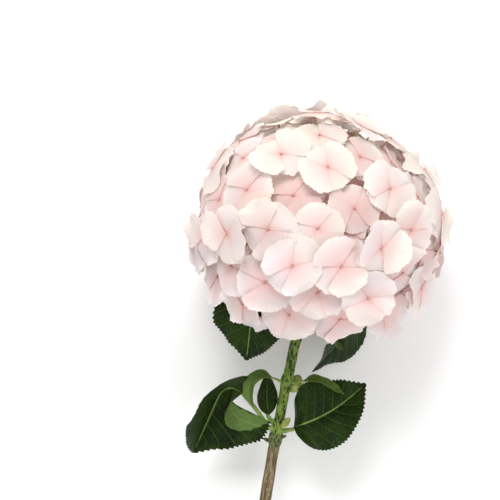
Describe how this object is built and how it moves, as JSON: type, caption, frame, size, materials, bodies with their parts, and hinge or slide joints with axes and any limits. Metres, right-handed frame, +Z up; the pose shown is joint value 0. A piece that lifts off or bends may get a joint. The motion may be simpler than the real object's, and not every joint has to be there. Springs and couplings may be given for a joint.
{
  "type": "cut hydrangea",
  "caption": "Cut mophead hydrangea lying on its side: a domed head of overlapping blush-white florets on a spotted green shoot with broad toothed leaves and a woody lower stem.",
  "frame": {"origin": "on the table, in the middle of the part's footprint", "axes": "+Z up from the table; +Y along the table from the cut end towards the flower head"},
  "size_m": [0.2006, 0.4398, 0.1915],
  "materials": {
    "sepal": "matte",
    "ray": "satin",
    "shoot": "satin",
    "wood": "matte",
    "leaf": "satin",
    "bud": "satin"
  },
  "bodies": {
    "root": {"cyme_01": "sepal", "cyme_02": "sepal", "cyme_03": "sepal", "cyme_04": "sepal", "cyme_05": "sepal", "cyme_06": "sepal", "cyme_07": "sepal", "cyme_08": "sepal", "cyme_09": "sepal", "cyme_10": "sepal", "cyme_11": "sepal", "cyme_12": "sepal", "cyme_13": "sepal", "cyme_14": "sepal", "cyme_15": "sepal", "cyme_16": "sepal", "cyme_17": "sepal", "cyme_18": "sepal", "cyme_19": "sepal", "cyme_20": "sepal", "cyme_21": "sepal", "cyme_22": "sepal", "cyme_23": "sepal", "cyme_24": "sepal", "cyme_25": "sepal", "cyme_26": "sepal", "cyme_27": "sepal", "cyme_28": "sepal", "ray_01": "ray", "ray_02": "ray", "ray_03": "ray", "ray_04": "ray", "ray_05": "ray", "ray_06": "ray", "ray_07": "ray", "woody_stem": "wood", "green_shoot": "shoot", "upper_leaf_left": "leaf", "upper_leaf_right": "leaf", "side_leaf_left": "leaf", "side_leaf_right": "leaf", "lower_leaf_left": "leaf", "lower_leaf_right": "leaf", "axil_leaf": "leaf", "middle_bud": "bud", "lower_bud": "bud"}
  },
  "joints": []
}
